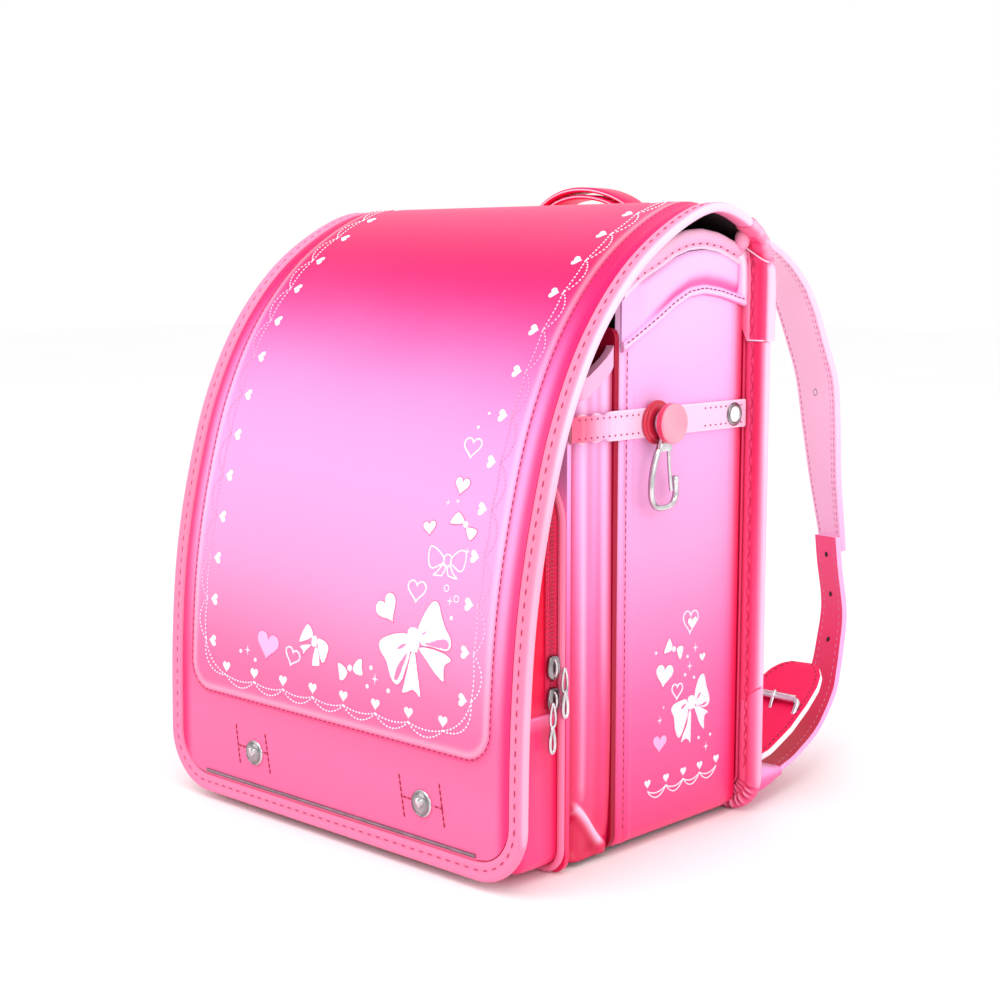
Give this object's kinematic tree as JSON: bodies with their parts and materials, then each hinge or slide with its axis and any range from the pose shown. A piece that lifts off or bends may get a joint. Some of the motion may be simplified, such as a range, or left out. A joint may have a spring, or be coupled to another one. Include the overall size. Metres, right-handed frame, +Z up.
{
  "type": "school ransel",
  "caption": "Stiff school backpack: domed flap over a box case, zipped front pocket, side snap hooks, carrying handle and buckled shoulder straps.",
  "frame": {"origin": "middle of the flat foot of the rolled back rim, on the surface that the case stands on", "axes": "+Z up, -Y towards the front of the flap, +Y towards the wearer's back and straps, +X towards the side seen in the picture"},
  "size_m": [0.2658, 0.3307, 0.3235],
  "materials": {
    "pearl_leather": "pearl coated",
    "hot_pink_leather": "semi-gloss coated",
    "binding_leather": "satin coated",
    "strap_padding": "soft matte",
    "zipper_tape": "woven",
    "nickel": "polished nickel",
    "knob_plastic": "satin",
    "reflective_film": "glossy"
  },
  "bodies": {
    "case": {"side_panel_right": "pearl_leather", "side_panel_left": "pearl_leather", "side_cap_right": "pearl_leather", "side_cap_left": "pearl_leather", "small_gusset_right": "pearl_leather", "small_gusset_left": "pearl_leather", "flap": "pearl_leather", "case_floor": "hot_pink_leather", "partition_wall": "hot_pink_leather", "back_rim": "hot_pink_leather", "small_floor": "hot_pink_leather", "small_front_wall": "hot_pink_leather", "pocket_shell": "hot_pink_leather", "handle": "hot_pink_leather", "handle_inner_ply": "hot_pink_leather", "lower_strap_right": "hot_pink_leather", "lower_strap_left": "hot_pink_leather", "buckle_guard_right": "hot_pink_leather", "buckle_guard_left": "hot_pink_leather", "strap_tab_right": "hot_pink_leather", "strap_tab_left": "hot_pink_leather", "side_top_binding_right": "binding_leather", "side_top_binding_left": "binding_leather", "top_wrap_right": "binding_leather", "top_wrap_left": "binding_leather", "gusset_binding_right": "binding_leather", "gusset_binding_left": "binding_leather", "pocket_piping": "binding_leather", "flap_binding": "binding_leather", "side_band_right": "binding_leather", "side_band_left": "binding_leather", "back_panel": "strap_padding", "shoulder_strap_right": "strap_padding", "shoulder_strap_left": "strap_padding", "zipper": "zipper_tape", "zip_slider_upper": "nickel", "zip_slider_lower": "nickel", "zip_pull_upper": "nickel", "zip_pull_lower": "nickel", "heart_stud_right": "nickel", "heart_stud_left": "nickel", "lock_block": "nickel", "band_eyelet_right": "nickel", "band_eyelet_left": "nickel", "strap_plate": "nickel", "buckle_frame_right": "nickel", "buckle_frame_left": "nickel", "side_knob_right": "knob_plastic", "side_knob_left": "knob_plastic", "reflective_strip": "reflective_film"},
    "hook_right": {"snap_hook_right": "nickel"},
    "gate_right": {"hook_gate_right": "nickel"},
    "hook_left": {"snap_hook_left": "nickel"},
    "gate_left": {"hook_gate_left": "nickel"}
  },
  "joints": [
    {"name": "hook_swing_right", "type": "hinge", "parent": "case", "child": "hook_right", "pos_m": [0.12575, -0.077, 0.208], "axis": [1, 0, 0], "continuous": true},
    {"name": "gate_open_right", "type": "hinge", "parent": "hook_right", "child": "gate_right", "pos_m": [0.12575, -0.07364, 0.19461], "axis": [-1, 0, 0], "range_deg": [0, 25], "stiffness_Nm_per_rad": 0.01},
    {"name": "hook_swing_left", "type": "hinge", "parent": "case", "child": "hook_left", "pos_m": [-0.12575, -0.077, 0.208], "axis": [1, 0, 0], "continuous": true},
    {"name": "gate_open_left", "type": "hinge", "parent": "hook_left", "child": "gate_left", "pos_m": [-0.12575, -0.07364, 0.19461], "axis": [-1, 0, 0], "range_deg": [0, 25], "stiffness_Nm_per_rad": 0.01}
  ]
}
